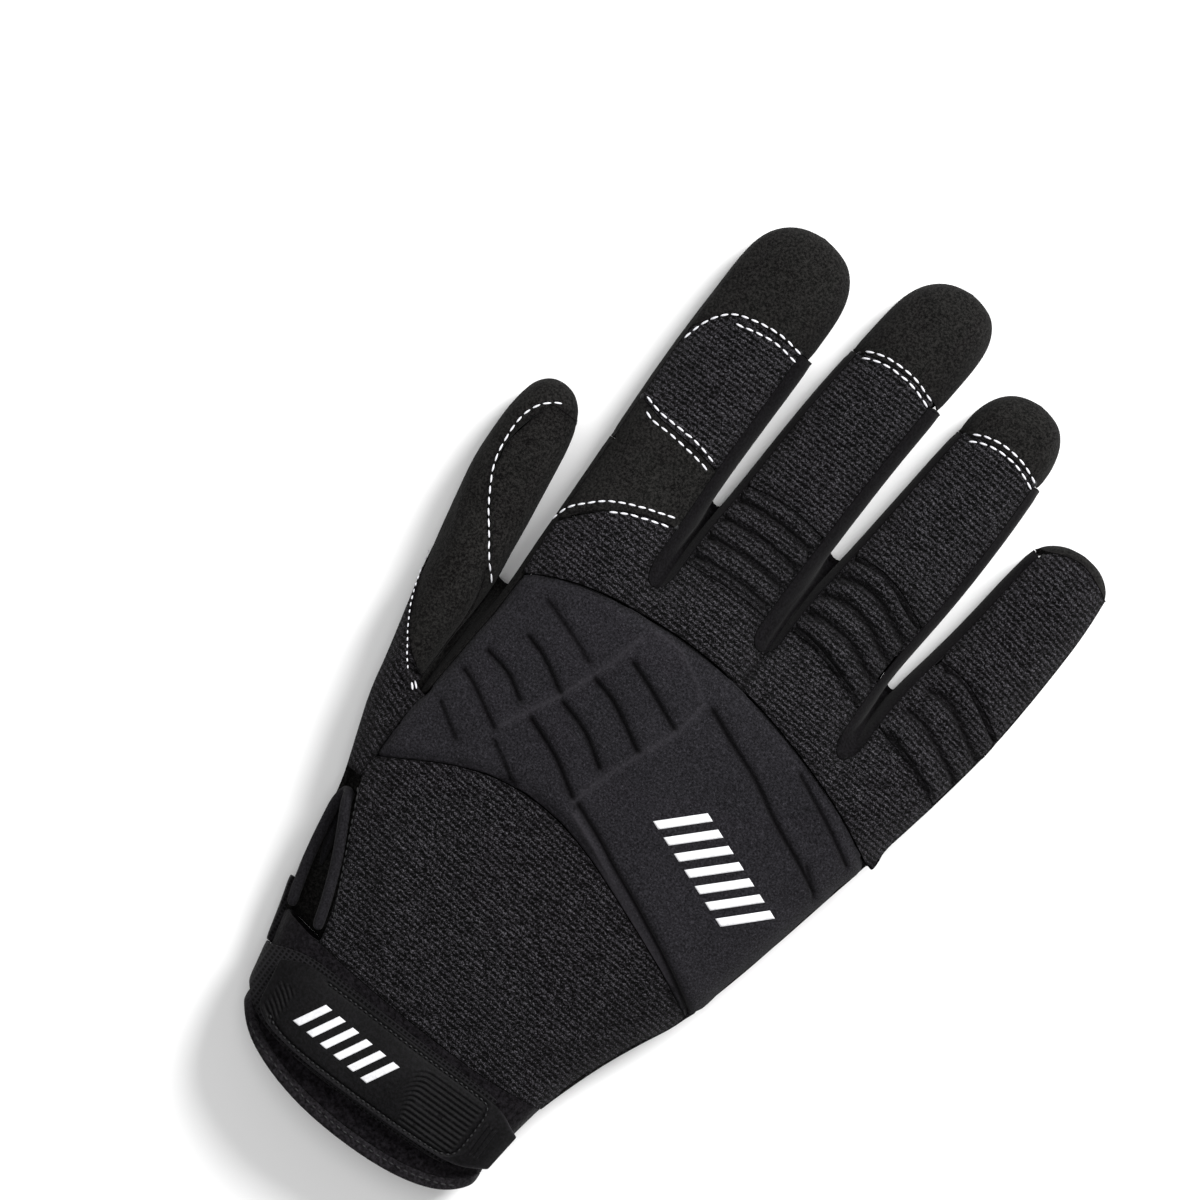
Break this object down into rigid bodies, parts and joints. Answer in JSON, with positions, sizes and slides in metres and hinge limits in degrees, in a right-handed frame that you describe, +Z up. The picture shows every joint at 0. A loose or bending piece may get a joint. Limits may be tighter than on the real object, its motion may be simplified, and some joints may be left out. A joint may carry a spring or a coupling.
{
  "type": "mechanic glove",
  "caption": "Right-hand mechanic glove lying on its palm: suede palm and fingertips, knit back, embossed knuckle pad, ribbed flex pads, and an elastic cuff with a wrist strap and moulded tab.",
  "frame": {"origin": "middle of the glove's outline, on the surface that it lies on", "axes": "+X towards the little finger, +Y towards the fingertips, +Z up out of the back of the hand"},
  "size_m": [0.1446, 0.2532, 0.0317],
  "materials": {
    "suede": "matt synthetic suede",
    "knit": "ribbed elastic knit",
    "cloth": "smooth stretch cloth",
    "neoprene": "brushed, embossed neoprene",
    "webbing": "woven elastic band",
    "rubber": "moulded soft rubber",
    "overlay": "padded synthetic suede overlay"
  },
  "bodies": {
    "root": {"palm_panel": "suede", "index_front": "suede", "middle_front": "suede", "ring_front": "suede", "little_front": "suede", "index_middle_fourchette": "cloth", "middle_ring_fourchette": "cloth", "ring_little_fourchette": "cloth", "thumb_front": "suede", "thumb_inner_panel": "suede", "thumb_gusset": "knit", "index_patch": "suede", "index_knit": "knit", "middle_knit": "knit", "ring_knit": "knit", "little_knit": "knit", "middle_flex_pad": "neoprene", "ring_flex_pad": "neoprene", "little_flex_pad": "neoprene", "knuckle_knit": "knit", "knuckle_pad": "neoprene", "back_knit": "knit", "slit_binding": "cloth", "cuff_back": "webbing", "cuff_palm": "webbing", "cuff_binding": "webbing", "wrist_strap": "webbing", "strap_tab": "rubber", "strap_anchor": "webbing", "palm_pad_upper": "overlay", "palm_pad_lower": "overlay", "palm_pad_side": "overlay"}
  },
  "joints": []
}
